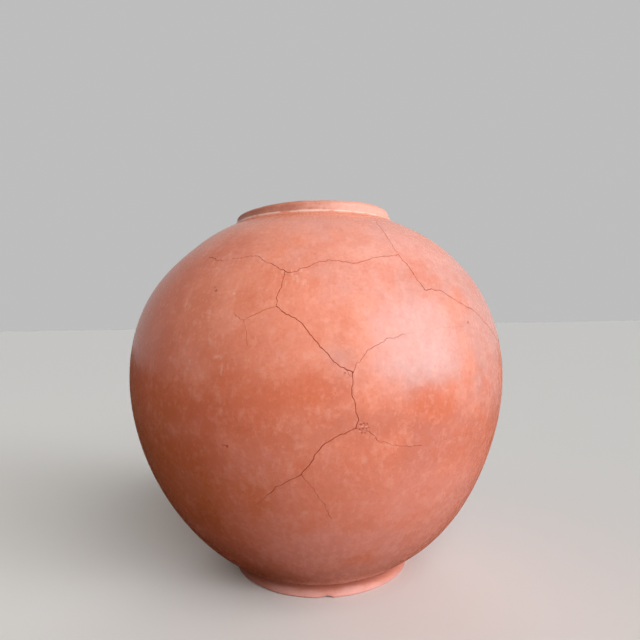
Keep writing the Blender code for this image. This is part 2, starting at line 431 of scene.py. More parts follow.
# %% [markdown]
# Breaking the wall
#
# A Boolean takes the wedges out of the wall. What is left falls apart into loose pieces, which are
# the sherds. Each is named by a place that lies on it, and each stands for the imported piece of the
# same name. A Boolean is surest on clean faces and one simple cutter, so the wall is cut while it is
# still plain, with one wedge at a time.

# %% Break the wall into sherds
SHERDS = {
    "shoulder_sherd": (0, 45),
    "upper_front_sherd": (15, 22),
    "right_belly_sherd": (35, 2),
    "lower_right_sherd": (40, -35),
    "lower_front_sherd": (-12, -40),
    "left_and_back_sherd": (-90, 0),
}

for route, width in BREAKS:
    combine(wall, make_blade("blade", route, width, THROUGH), "DIFFERENCE")
take(wall)
bpy.ops.object.mode_set(mode="EDIT")
bpy.ops.mesh.select_all(action="SELECT")
bpy.ops.mesh.separate(type="LOOSE")
bpy.ops.object.mode_set(mode="OBJECT")
loose = list(bpy.context.selected_objects)


def distance_to(piece, place):
    return min((vert.co - place).length for vert in piece.data.vertices)


sherds = []
for name, spot in SHERDS.items():
    place = wall_place(*spot)
    sherd = min(loose, key=lambda piece: distance_to(piece, place))
    sherd.name = name + "_fine"
    sherd.data.name = sherd.name
    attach(sherd, "root")
    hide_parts(name)
    sherds.append(sherd)
    print(sherd.name, len(sherd.data.polygons), "faces")
assert len(set(sherds)) == len(SHERDS), "a sherd is missing"
crumbs = [piece for piece in loose if piece not in sherds]
for crumb in crumbs:
    print("crumb swept away:", len(crumb.data.polygons), "faces")
    bpy.data.objects.remove(crumb)

# %% [markdown]
# Small damage
#
# A few hairlines end in the wall and don't reach another break. Where three breaks meet on the belly
# the skin has spalled off in flakes, and there are pits where grit fell out. These are shallow, so
# they are gathered into one cutter and taken out of each sherd that they touch.

# %% Hairlines that end in the wall, and the spall
HAIRLINES = [
    ([(-9.3, 20.6), (-12.6, 19.6), (-15.9, 18), (-17.1, 17.5), (-20, 19)], HAIR),
    ([(-17.1, 17.5), (-16.2, 15), (-15.4, 11.6)], HAIR),
    ([(6.9, 5.7), (7.2, 5.2), (7.5, 4.8)], HAIR),
]
HAIRLINE_DEPTH = 0.988
SMOOTH_BELOW = 40
LEAST_LEFT = 0.9
SCOOP_FINENESS = 3
SCOOP_CHANGE = 0.5
SCOOP_SCALE = 900
SPALL = 0.30
PIT = 0.5
SCOOPS = [
    ((9.4, -5.9), 0.0007, SPALL),
    ((10.1, -5.7), 0.0008, SPALL),
    ((10.9, -5.9), 0.0007, SPALL),
    ((9.2, -6.9), 0.0006, SPALL),
    ((9.9, -6.8), 0.0008, SPALL),
    ((10.7, -6.9), 0.0007, SPALL),
    ((11.3, -6.7), 0.0005, SPALL),
    ((9.7, -7.7), 0.0006, SPALL),
    ((10.4, -7.8), 0.0005, SPALL),
    ((6.1, 5.4), 0.0006, SPALL),
    ((-26.9, 25.2), 0.0008, PIT),
    ((-27.7, 26.1), 0.0005, PIT),
    ((-21.2, -11.1), 0.0008, PIT),
    ((-27.6, -21.2), 0.0007, PIT),
    ((-27.2, -19.5), 0.0005, PIT),
    ((-30.5, -26.6), 0.0006, PIT),
    ((43.2, 15.8), 0.0007, PIT),
]


def make_scoop(bearing, latitude, size, flatness):
    """A small uneven lens on the wall, which leaves a pit when it is cut out."""
    start_clean()
    bpy.ops.mesh.primitive_ico_sphere_add(subdivisions=SCOOP_FINENESS, radius=size)
    scoop = bpy.context.object
    for vert in scoop.data.vertices:
        shift = Vector((bearing, latitude, 0))
        vert.co *= 1 + SCOOP_CHANGE * noise.noise(vert.co * SCOOP_SCALE + shift)
        vert.co.z *= flatness
    place = uneven(wall_place(bearing, latitude))
    facing = (place - BELLY_CENTRE).to_track_quat("Z", "Y").to_matrix().to_4x4()
    facing.translation = place
    scoop.data.transform(facing)
    return scoop


damage = make_blades("damage", HAIRLINES, HAIRLINE_DEPTH)
for spot, size, flatness in SCOOPS:
    combine(damage, make_scoop(*spot, size, flatness), "UNION")
for sherd in sherds:
    whole = len(sherd.data.vertices)
    combine(sherd, damage, "DIFFERENCE", keep=True)
    assert len(sherd.data.vertices) > LEAST_LEFT * whole, "a sherd is lost in the damage"
    shade(sherd, SMOOTH_BELOW)
    print(sherd.name, len(sherd.data.polygons), "faces with its damage")
bpy.data.objects.remove(damage)

# %% [markdown]
# The collar
#
# The potter laid a rope of clay on the shoulder and thinned it to a low collar. It leans in a
# little, its lip is rounded by the thumb, and it isn't level: its right side stands higher. At its
# root the clay was smeared out over the shoulder, so the joint doesn't show as a gap. The smear is
# part of the collar's section here: a hollow curve that ends in a thin edge just above the wall.

# %% Collar
COLLAR_STEPS = 320
COLLAR_SIDE_STEPS = 4
COLLAR_INNER_STEPS = 5
COLLAR_LEAN = 0.0022
LIP_ROUNDING = 0.0032
LIP_STEPS = 8
SMEAR_REACH = 0.0030
SMEAR_RISE = 0.0026
SMEAR_STEPS = 7
SMEAR_UNDER_STEPS = 4
SMEAR_EDGE = 0.00012
SMEAR_CLEARANCE = 0.00005
RIM_TILT = 0.028
RIM_SHIFT = -0.0012
RIM_WOBBLE = 0.0005
RIM_WOBBLE_ACROSS = 0.4
RIM_DENTS = 30
RIM_FINE_DENTS = 90
RIM_FINE_SHARE = 0.5
COLLAR_INSET = 0.0002


def arc(radius, height, size, start, end, steps):
    """Points on part of a round of a section, with its angles in degrees."""
    turns = [math.radians(angle) for angle in evenly(start, end, steps)]
    return [(radius + size * math.cos(turn), height + size * math.sin(turn)) for turn in turns]


def shoulder_height(radius):
    share = (radius / BELLY_RADIUS) ** SHOULDER_FULLNESS
    return BELLY_HEIGHT + SHOULDER_RISE * (1 - share) ** (1 / SHOULDER_FULLNESS)


def collar_section():
    seat, top = collar_low.z, collar_high.z
    outer_top = NECK_RADIUS - COLLAR_LEAN
    crown = top - LIP_ROUNDING
    outer_lip = arc(outer_top - LIP_ROUNDING, crown, LIP_ROUNDING, 90, 0, LIP_STEPS)
    inner_lip = arc(MOUTH_RADIUS + LIP_ROUNDING, crown, LIP_ROUNDING, 180, 90, LIP_STEPS)
    root = NECK_HEIGHT + SMEAR_RISE
    root_radius = NECK_RADIUS - COLLAR_LEAN * SMEAR_RISE / (crown - NECK_HEIGHT)
    side_radii = evenly(outer_top, root_radius, COLLAR_SIDE_STEPS)
    side = list(zip(side_radii, evenly(crown, root, COLLAR_SIDE_STEPS)))[1:]
    smear_end = NECK_RADIUS + SMEAR_REACH
    smear = []
    for share in evenly(0, 1, SMEAR_STEPS)[1:]:
        radius = root_radius + (smear_end - root_radius) * share
        lift = (root - shoulder_height(root_radius)) * (1 - share) ** 2
        smear.append((radius, shoulder_height(radius) + SMEAR_EDGE + lift))
    under = [(radius, shoulder_height(radius) + SMEAR_CLEARANCE)
             for radius in evenly(smear_end, NECK_RADIUS, SMEAR_UNDER_STEPS)]
    inner_side = [(MOUTH_RADIUS, height) for height in evenly(seat, crown, COLLAR_INNER_STEPS)][:-1]
    corner = [(NECK_RADIUS - COLLAR_INSET, seat)]
    return outer_lip + side + smear + under + corner + inner_side + inner_lip


collar = turn_section("collar_fine", collar_section(), COLLAR_STEPS)
root_height = NECK_HEIGHT + SMEAR_RISE
for vert in collar.data.vertices:
    rise = max(0.0, (vert.co.z - root_height) / (collar_high.z - root_height))
    dent = noise.noise(vert.co * RIM_DENTS) + RIM_FINE_SHARE * noise.noise(vert.co * RIM_FINE_DENTS)
    vert.co.z += rise * (RIM_TILT * vert.co.x + RIM_WOBBLE * dent)
    vert.co.x += rise * RIM_SHIFT
    vert.co.xy *= 1 + rise * RIM_WOBBLE_ACROSS * RIM_WOBBLE / NECK_RADIUS * dent
shade(collar, SMOOTH_BELOW)
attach(collar, "root")
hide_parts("collar")
print("collar:", len(collar.data.polygons), "faces")

# %% [markdown]
# The base
#
# The base is a thick floor that plugs the heel of the wall, on a low foot. The potter drew the clay
# of the foot up over the heel, so the wall runs into the foot in one hollow curve, and pressed the
# foot outwards, most of all at the right. Its edge is worn round and its trimming wavered, and a
# small chip is missing from the front edge. The hollow is a curve drawn towards one handle, the
# waist. Where the clay lies on the wall it follows the same unevenness, so it never sinks into it.

# %% Base
BASE_STEPS = 400
FLOOR_STEPS = 6
EDGE_STEPS = 6
FOOT_FLARE = 0.0030
FOOT_RADIUS = base_high.x + FOOT_FLARE
FOOT_HEIGHT = HEEL_HEIGHT - SEAT_GAP
FOOT_RIM = 0.004
EDGE_ROUNDING = 0.0010
REST_WIDTH = 0.0196
RECESS_DEPTH = 0.0015
APRON_RISE = 0.0050
APRON_HEIGHT = HEEL_HEIGHT + APRON_RISE
WAIST_INSET = 0.0005
WAIST = (HEEL_RADIUS - WAIST_INSET, 0.0060)
APRON_STEPS = 16
AGAINST_WALL_STEPS = 4
FOOT_SHIFT = 0.0020
FOOT_SHIFT_BELOW = 0.0066
CHIP_BEARING = 2.0
CHIP_SIZE = Vector((0.0050, 0.0030, 0.0022))
CHIP_DEPTH = 0.0008
CHIP_SCALE = 700
CHIP_STEEPNESS = 2
CHIP_RAGGED = 0.8
CHIP_CHANGE = 0.6
FOOT_WOBBLE = 0.00035
FOOT_WOBBLE_SCALE = 45


def underside_radius(height):
    share = ((BELLY_HEIGHT - height) / UNDERSIDE_DROP) ** UNDERSIDE_FULLNESS
    return BELLY_RADIUS * (1 - share) ** (1 / UNDERSIDE_FULLNESS)


def curve(start, handle, end, steps):
    """Points on a curve from start to end that is drawn towards a handle."""
    places = []
    for share in evenly(0, 1, steps):
        first, middle, last = (1 - share) ** 2, 2 * share * (1 - share), share ** 2
        places.append(tuple(first * a + middle * b + last * c for a, b, c in zip(start, handle, end)))
    return places


def base_section():
    slope = (inner_radius(FLOOR_HEIGHT) - inner_radius(HEEL_HEIGHT)) / (FLOOR_HEIGHT - HEEL_HEIGHT)
    plug_top = inner_radius(FLOOR_HEIGHT) - SEAT_GAP
    plug_root = plug_top - slope * (FLOOR_HEIGHT - FOOT_HEIGHT)
    floor_top = [(radius, FLOOR_HEIGHT) for radius in evenly(0, plug_top, FLOOR_STEPS)]
    against_wall = [(underside_radius(height) + SMEAR_CLEARANCE, height)
                    for height in evenly(HEEL_HEIGHT, APRON_HEIGHT, AGAINST_WALL_STEPS)]
    apron_top = (underside_radius(APRON_HEIGHT) + SMEAR_EDGE, APRON_HEIGHT)
    apron = curve(apron_top, WAIST, (FOOT_RADIUS, EDGE_ROUNDING), APRON_STEPS)
    edge = arc(FOOT_RADIUS - EDGE_ROUNDING, EDGE_ROUNDING, EDGE_ROUNDING, 0, -90, EDGE_STEPS)[1:]
    recess = FOOT_RADIUS - EDGE_ROUNDING - REST_WIDTH
    ceiling = [(radius, RECESS_DEPTH) for radius in evenly(recess - RECESS_DEPTH, 0, FLOOR_STEPS)]
    plug = floor_top + [(plug_root, FOOT_HEIGHT)]
    return plug + against_wall + apron + edge + [(recess, 0)] + ceiling


base = turn_section("base_fine", base_section(), BASE_STEPS, closed=False)
chip_turn = math.radians(CHIP_BEARING)
chip_place = Vector((FOOT_RADIUS * math.sin(chip_turn), -FOOT_RADIUS * math.cos(chip_turn), 0))
for vert in base.data.vertices:
    away = vert.co - chip_place
    shares = Vector((away.x / CHIP_SIZE.x, away.y / CHIP_SIZE.y, away.z / CHIP_SIZE.z))
    missing = 1 - shares.length
    if missing > 0:
        ragged = CHIP_RAGGED + CHIP_CHANGE * noise.noise(vert.co * CHIP_SCALE)
        bite = CHIP_DEPTH * min(1.0, CHIP_STEEPNESS * missing) * ragged
        vert.co += Vector((0, bite, bite))
    low = max(0.0, 1 - vert.co.z / FOOT_SHIFT_BELOW)
    if vert.co.xy.length > HEEL_RADIUS - FOOT_RIM:
        waver = noise.noise(vert.co * FOOT_WOBBLE_SCALE)
        vert.co.xy *= 1 - low * FOOT_WOBBLE / FOOT_RADIUS * waver
    vert.co.x += FOOT_SHIFT * low ** 2
    if vert.co.z > HEEL_HEIGHT and vert.co.xy.length > HEEL_RADIUS:
        vert.co = uneven(vert.co)
shade(base, SMOOTH_BELOW)
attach(base, "root")
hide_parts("base")
print("base:", len(base.data.polygons), "faces")

# %% [markdown]
# Finishes as sums
#
# The clay has no picture on it. Its look is worked out from the place of each point, so it is the
# same from every side and doesn't stretch. Wire wraps one socket of a material, so that masks can be
# written as ordinary sums, and Finish adds any other node with a single method.

# %% Tools for finishes
BLOT_CORE = 0.3
BLOT_EDGE = 1.15


class Wire:
    """A value inside a material. A sum of values adds its own Math node."""

    def __init__(self, finish, socket):
        self.finish = finish
        self.socket = socket

    def maths(self, operation, first, second):
        return self.finish.node("ShaderNodeMath", {"operation": operation}, {0: first, 1: second})

    def __add__(self, other):
        return self.maths("ADD", self, other)

    def __radd__(self, other):
        return self.maths("ADD", other, self)

    def __sub__(self, other):
        return self.maths("SUBTRACT", self, other)

    def __rsub__(self, other):
        return self.maths("SUBTRACT", other, self)

    def __mul__(self, other):
        return self.maths("MULTIPLY", self, other)

    def __rmul__(self, other):
        return self.maths("MULTIPLY", other, self)


class Finish:
    """A material, or the light of the world, that is built up node by node."""

    def __init__(self, owner):
        self.owner = owner
        self.owner.use_nodes = True
        self.tree = self.owner.node_tree
        self.tree.nodes.clear()

    def node(self, kind, settings=None, inputs=None, output=0):
        """Adds a node of any kind: its settings first, then the values or links of its sockets."""
        made = self.tree.nodes.new(kind)
        for name, value in (settings or {}).items():
            setattr(made, name, value)
        for name, value in (inputs or {}).items():
            if isinstance(value, Wire):
                self.tree.links.new(value.socket, made.inputs[name])
            else:
                made.inputs[name].default_value = value
        return Wire(self, made.outputs[output]) if made.outputs else None

    def place(self):
        return self.node("ShaderNodeTexCoord", output="Object")

    def vector(self, operation, first, second):
        return self.node("ShaderNodeVectorMath", {"operation": operation}, {0: first, 1: second})

    def length(self, vector):
        return self.node("ShaderNodeVectorMath", {"operation": "LENGTH"}, {0: vector}, "Value")

    def scaled(self, colour, factor):
        return self.node("ShaderNodeVectorMath", {"operation": "SCALE"}, {0: colour, "Scale": factor})

    def mix(self, amount, first, second):
        """Two colours mixed: amount 0 gives the first, 1 the second."""
        ends = [(*end, 1) if isinstance(end, tuple) else end for end in (first, second)]
        settings = {"data_type": "RGBA"}
        return self.node("ShaderNodeMix", settings, {0: amount, 6: ends[0], 7: ends[1]}, 2)

    def cloud(self, place, scale, detail=2.0, roughness=0.5):
        """Soft random patches from 0 to 1, with about scale of them to the metre."""
        inputs = {"Vector": place, "Scale": scale, "Detail": detail, "Roughness": roughness}
        return self.node("ShaderNodeTexNoise", None, inputs, "Fac")

    def dots(self, place, scale):
        """Distance to the nearest of many scattered points, in shares of their spacing."""
        inputs = {"Vector": place, "Scale": scale}
        return self.node("ShaderNodeTexVoronoi", {"feature": "F1"}, inputs, "Distance")

    def rise(self, value, low, high):
        """A smooth step from 0 at low to 1 at high."""
        inputs = {"Value": value, "From Min": low, "From Max": high}
        return self.node("ShaderNodeMapRange", {"interpolation_type": "SMOOTHSTEP"}, inputs)

    def blot(self, place, spot, width, rise, ragged):
        """A ragged patch round a spot on the wall, 1 inside and 0 outside."""
        offset = self.vector("SUBTRACT", place, wall_place(*spot))
        shares = self.vector("MULTIPLY", offset, (1 / width, 1 / width, 1 / rise))
        return 1 - self.rise(self.length(shares) + ragged, BLOT_CORE, BLOT_EDGE)

    def surface(self, colour, roughness, height, depth, gloss=0.5):
        """Ends the material: a clay body with its colour, its gloss and its relief."""
        relief = {"Strength": 1.0, "Distance": depth, "Height": height}
        bump = self.node("ShaderNodeBump", None, relief, "Normal")
        inputs = {"Base Color": colour, "Roughness": roughness, "Normal": bump}
        inputs["Specular IOR Level"] = gloss
        shader = self.node("ShaderNodeBsdfPrincipled", None, inputs)
        self.node("ShaderNodeOutputMaterial", None, {"Surface": shader})

    def in_sight(self, mirrored=1.0):
        """1 where the camera sees it, straight or through glass, mirrored in a gloss, and else 0."""
        rays = ("Is Camera Ray", "Is Transmission Ray", "Is Glossy Ray")
        straight, passing, glossy = [self.node("ShaderNodeLightPath", None, None, ray) for ray in rays]
        return straight.maths("MAXIMUM", straight.maths("MAXIMUM", straight, passing), mirrored * glossy)


# %% [markdown]
# The burnished clay
#
# The outside was coated in fine slip and rubbed with a smooth stone. The clay is salmon where the
# fire was clean, orange in a band across the front, ochre low on the left and pinker on the right.
# Some tones also carry painted light. The ochre low on the left is darkened as painted shade, and a
# dark brown low on the left by the foot is painted shade. The pink on the right is lifted as
# painted sheen, the rose low on the front and right is lighter as painted bounce light, and a
# brick band under the sheen is a painted reflection.
# The stone left fine strokes that run up and down the wall, like meridians on a globe, and longer
# ones round it. Meridians need the direction from the axis without the radius, so the place is
# flattened and brought to length one first.

# %% Tones of the clay, and where they lie
SALMON = (0.78, 0.260, 0.165)
# Pink tones of the clay, lifted on the lit right as painted sheen.
PINK_AND_SHEEN = (0.63, 0.290, 0.240)
BLUSH_AND_SHEEN = (0.74, 0.325, 0.265)
# Rose of the clay, lightened low on the front and right as painted bounce light.
ROSE_AND_BOUNCE = (0.75, 0.290, 0.228)
RED_CLAY = (0.67, 0.200, 0.128)
ORANGE = (0.68, 0.172, 0.088)
RUSSET = (0.65, 0.160, 0.085)
# Ochre of the clay, darkened low on the left as painted shade.
OCHRE_AND_SHADE = (0.60, 0.145, 0.040)
DUSKY = (0.58, 0.180, 0.125)
MAUVE = (0.68, 0.250, 0.200)
# Painted reflection: a darker band under the sheen on the front and right.
PAINTED_REFLECTION_BRICK = (0.59, 0.185, 0.125)
# Painted shade: dark brown low on the left by the foot.
PAINTED_SHADE_UMBER = (0.46, 0.100, 0.030)
PALE = (0.82, 0.40, 0.31)
CHALK = (0.88, 0.62, 0.52)
PIT_BROWN = (0.26, 0.060, 0.040)

# Where the tones lie. Some also carry painted light: the pink and blush on the right are painted sheen,
# the rose low on the front and right painted bounce light, the ochre low on the left painted shade, the
# brick under the sheen a painted reflection, and the umber by the foot painted shade.
ZONES = [
    ((24, 30), 0.062, 0.036, BLUSH_AND_SHEEN, 0.8),
    ((50, 14), 0.090, 0.070, PINK_AND_SHEEN, 1.0),
    ((38, -32), 0.075, 0.065, ROSE_AND_BOUNCE, 0.7),
    ((-50, -22), 0.078, 0.078, OCHRE_AND_SHADE, 0.95),
    ((-56, 8), 0.050, 0.040, ORANGE, 0.9),
    ((-28, 13), 0.050, 0.022, ORANGE, 0.35),
    ((32, 44), 0.066, 0.026, BLUSH_AND_SHEEN, 0.85),
    ((62, -2), 0.036, 0.024, BLUSH_AND_SHEEN, 0.6),
    ((-48, 24), 0.060, 0.060, ORANGE, 0.95),
    ((-30, -12), 0.034, 0.020, RUSSET, 0.5),
    ((-15, 1), 0.050, 0.016, ORANGE, 0.75),
    ((-3, 1), 0.024, 0.011, ORANGE, 0.6),
    ((-34, 2), 0.034, 0.020, ORANGE, 0.25),
    ((-20, -6), 0.046, 0.016, RUSSET, 0.8),
    ((38, -12), 0.075, 0.026, PAINTED_REFLECTION_BRICK, 0.7),
    ((13, -7), 0.046, 0.018, PAINTED_REFLECTION_BRICK, 0.85),
    ((-42, -48), 0.052, 0.034, PAINTED_SHADE_UMBER, 0.8),
    ((-24, -56), 0.046, 0.014, PAINTED_SHADE_UMBER, 0.95),
    ((29, -2.6), 0.022, 0.011, ORANGE, 0.65),
    ((-17, 22), 0.016, 0.012, ORANGE, 0.45),
    ((-24, -44), 0.022, 0.010, DUSKY, 0.5),
    ((2, -40), 0.050, 0.028, ROSE_AND_BOUNCE, 0.7),
    ((14, -52), 0.046, 0.016, ROSE_AND_BOUNCE, 0.8),
    ((15, 36), 0.024, 0.008, PALE, 0.35),
]
SCUFFS = [
    ((-31, 19), 0.020, 0.022, 0.9),
    ((-30, 8), 0.020, 0.013, 0.8),
    ((-4, 28), 0.016, 0.010, 0.8),
    ((-33, 33), 0.020, 0.012, 0.5),
    ((12, -50), 0.050, 0.014, 0.4),
]
MARKS = [
    ((-4.4, 33.8), 0.0008, 0.0030, PALE, 0.8),
    ((-5.2, 32.2), 0.0007, 0.0022, PALE, 0.7),
    ((-3.0, 26.8), 0.0030, 0.0006, PALE, 0.6),
    ((-5.5, 27.6), 0.0008, 0.0020, PALE, 0.6),
    ((-21, 24.1), 0.0007, 0.0007, CHALK, 0.9),
    ((9.8, -6.3), 0.0012, 0.0005, PALE, 0.8),
    ((10.8, -6.4), 0.0009, 0.0004, PALE, 0.7),
    ((9.3, -7.4), 0.0008, 0.0005, PALE, 0.7),
    ((10.3, -7.3), 0.0010, 0.0004, PALE, 0.8),
    ((10.1, -8.3), 0.0009, 0.0004, PALE, 0.5),
    ((9.5, -5.4), 0.0009, 0.0004, PALE, 0.5),
    ((10.5, -14.2), 0.0022, 0.0026, PALE, 0.4),
    ((-26.9, 25.2), 0.0013, 0.0008, PIT_BROWN, 0.8),
    ((-27.6, 26.0), 0.0010, 0.0010, PIT_BROWN, 0.4),
    ((-21.2, -11.1), 0.0011, 0.0009, PIT_BROWN, 0.7),
    ((-22.0, -10.8), 0.0016, 0.0006, PIT_BROWN, 0.4),
    ((-27.6, -21.2), 0.0007, 0.0020, PIT_BROWN, 0.6),
    ((-27.2, -19.5), 0.0008, 0.0010, PIT_BROWN, 0.5),
    ((-30.5, -26.6), 0.0009, 0.0009, PIT_BROWN, 0.6),
    ((43.2, 15.8), 0.0016, 0.0012, PIT_BROWN, 0.35),
    ((9.4, -5.9), 0.0007, 0.0005, PIT_BROWN, 0.6),
    ((10.1, -5.7), 0.0009, 0.0004, PIT_BROWN, 0.7),
    ((10.9, -5.9), 0.0007, 0.0005, PIT_BROWN, 0.6),
    ((9.2, -6.9), 0.0006, 0.0004, PIT_BROWN, 0.7),
    ((9.9, -6.8), 0.0009, 0.0004, PIT_BROWN, 0.7),
    ((10.7, -6.9), 0.0008, 0.0004, PIT_BROWN, 0.7),
    ((11.3, -6.7), 0.0005, 0.0004, PIT_BROWN, 0.5),
    ((9.7, -7.7), 0.0007, 0.0004, PIT_BROWN, 0.6),
    ((10.4, -7.8), 0.0006, 0.0004, PIT_BROWN, 0.6),
    ((6.1, 5.4), 0.0006, 0.0008, PIT_BROWN, 0.5),
]


# %% Burnished clay
HAND_WANDER = 0.006
HAND_WANDER_SCALE = 60.0
RED_FROM = 0.150
RED_TO = 0.110
BURNISH = 0.27
SKIN_RELIEF = 0.0008
ELSEWHERE = (3.1, 5.7, 7.3)


def burnished_clay():
    finish = Finish(bpy.data.materials.new("burnished_clay"))
    place = finish.place()
    wander = {"Vector": place, "Scale": HAND_WANDER_SCALE, "Detail": 2.0}
    swirl = finish.node("ShaderNodeTexNoise", None, wander, "Color")
    swirl = finish.vector("SUBTRACT", swirl, (0.5, 0.5, 0.5))
    bent = finish.vector("ADD", place, finish.scaled(swirl, HAND_WANDER))
    level = finish.vector("MULTIPLY", bent, (1, 1, 0))
    bearing = finish.node("ShaderNodeVectorMath", {"operation": "NORMALIZE"}, {0: level})
    height = finish.vector("MULTIPLY", bent, (0, 0, 1))

    def strokes(round_the_wall, up_the_wall, detail):
        turned = finish.vector("MULTIPLY", bearing, (round_the_wall, round_the_wall, 0))
        raised = finish.vector("MULTIPLY", height, (0, 0, up_the_wall))
        return finish.cloud(finish.vector("ADD", turned, raised), 1, detail, 0.6)

    cloudy = finish.cloud(place, 24, 6, 0.62)
    warmth = finish.cloud(finish.vector("ADD", place, ELSEWHERE), 34, 5, 0.65)
    mottle = finish.cloud(place, 95, 6, 0.72)
    pebble = finish.cloud(place, 190, 3, 0.6)
    grain = finish.cloud(place, 520, 3, 0.6)
    upright = strokes(60, 170, 4)
    across = strokes(20, 190, 4)
    drift = finish.cloud(place, 26, 2, 0.5)
    ragged = 2.0 * (drift - 0.5) + 0.5 * (mottle - 0.5)

    low = finish.node("ShaderNodeSeparateXYZ", None, {"Vector": place}, "Z")
    below = finish.rise(low + 0.10 * (cloudy - 0.5), RED_FROM, RED_TO)
    colour = finish.mix(0.7 * below, SALMON, RED_CLAY)
    # Each zone mixes in its tone; some of them are painted shade, sheen, bounce light and reflection.
    for spot, width, rise, tint, strength in ZONES:
        colour = finish.mix(strength * finish.blot(place, spot, width, rise, ragged), colour, tint)
    colour = finish.mix(0.40 * finish.rise(warmth, 0.50, 0.66), colour, ORANGE)
    colour = finish.mix(0.25 * finish.rise(warmth, 0.48, 0.34), colour, MAUVE)
    scuffed = 0.25
    for spot, width, rise, strength in SCUFFS:
        scuffed = scuffed + strength * finish.blot(place, spot, width, rise, ragged)
    fleck = finish.rise(upright + 0.8 * (mottle - 0.5) + 0.3 * (grain - 0.5), 0.54, 0.70)
    colour = finish.mix(0.7 * fleck * scuffed, colour, PALE)
    stain = 0.22 * (mottle - 0.5) + 0.20 * (pebble - 0.5) + 0.30 * (grain - 0.5)
    stain = stain + 0.12 * (upright - 0.5) + 0.25 * (across - 0.5)
    colour = finish.mix(0.45 * finish.rise(stain, 0.00, -0.14), colour, ORANGE)
    colour = finish.mix(0.28 * finish.rise(stain, 0.01, 0.15), colour, PALE)
    tone = 0.12 * (cloudy - 0.5) + 0.08 * (mottle - 0.5) + 0.24 * (grain - 0.5)
    colour = finish.scaled(colour, 1 + tone)
    sparse = finish.rise(finish.cloud(place, 40, 2), 0.52, 0.62)
    speck = (1 - finish.rise(finish.dots(place, 230), 0.04, 0.11)) * sparse
    colour = finish.mix(0.35 * speck, colour, CHALK)
    for spot, width, rise, tint, strength in MARKS:
        mark = finish.blot(place, spot, width, rise, 1.2 * (grain - 0.5))
        colour = finish.mix(strength * mark, colour, tint)

    roughness = 0.20 * (mottle - 0.5) + 0.08 * (upright - 0.5) + 0.12 * (pebble - 0.5)
    relief = 0.25 * cloudy + 0.35 * drift + 0.08 * mottle + 0.06 * pebble
    relief = relief + 0.02 * upright + 0.015 * across
    finish.surface(colour, BURNISH + roughness, relief, SKIN_RELIEF)
    return finish.owner


# %% [markdown]
# Raw clay, collar and foot
#
# Inside the pot and in the breaks the clay was never burnished: it is matt, a little browner, and
# keeps the rings of the turning. The collar was wiped with a wet cloth. It is painted a darker red
# on its left as shade and paler on its right as lit, and a pale line at its root is a painted
# highlight. The foot was trimmed and left bare, so it is pale and dusty. Higher up, and lower down
# at the right, it takes the wall's tone painted darker as shade, and at the left it is painted
# browner as shade.

# %% Raw clay, collar and foot
RAW = (0.60, 0.125, 0.060)
RAW_DARK = (0.48, 0.080, 0.036)
RAW_GLOSS = 0.15
RAW_ROUGHNESS = 0.85
RAW_RELIEF = 0.0005
COLLAR_SHADE_RED = (0.46, 0.165, 0.110)
COLLAR_LIT_PALE = (0.76, 0.38, 0.30)
COLLAR_ORANGE = (0.63, 0.22, 0.13)
COLLAR_SHADE_TO = -0.030
COLLAR_LIT_FROM = 0.040
COLLAR_ROUGHNESS = 0.46
COLLAR_RELIEF = 0.0007
LIP_FROM = NECK_HEIGHT + 0.0050
LIP_TO = NECK_HEIGHT + 0.0080
SMEAR_TOP = NECK_HEIGHT + 0.0022
SMEAR_FOOT = NECK_HEIGHT + 0.0008
HIGHLIGHT_LINE_TOP = 0.0006
HIGHLIGHT_LINE_FOOT = 0.0004
FOOT_PINK = (0.69, 0.325, 0.275)
FOOT_RED = (0.60, 0.22, 0.155)
FOOT_WALL_SHADE = (0.53, 0.175, 0.120)
FOOT_PALE_FROM = 0.0085
FOOT_PALE_TO = 0.0035
FOOT_SHADE_TILT = 0.0045
FOOT_LEFT_SHADE = (0.40, 0.135, 0.085)
FOOT_ROUGHNESS = 0.72
FOOT_RELIEF = 0.0004
SHADE_RIGHT_FROM = 0.01
SHADE_RIGHT_TO = 0.055
SHADE_LEFT_FROM = -0.022
SHADE_LEFT_TO = -0.052


def raw_clay():
    finish = Finish(bpy.data.materials.new("raw_clay"))
    place = finish.place()
    rings = finish.cloud(finish.vector("MULTIPLY", place, (6, 6, 260)), 1, 2)
    grain = finish.cloud(place, 300, 4, 0.7)
    colour = finish.mix(finish.rise(grain + 0.5 * rings, 0.5, 1.0), RAW_DARK, RAW)
    roughness = RAW_ROUGHNESS + 0.1 * (grain - 0.5)
    finish.surface(colour, roughness, rings + 0.4 * grain, RAW_RELIEF, RAW_GLOSS)
    return finish.owner


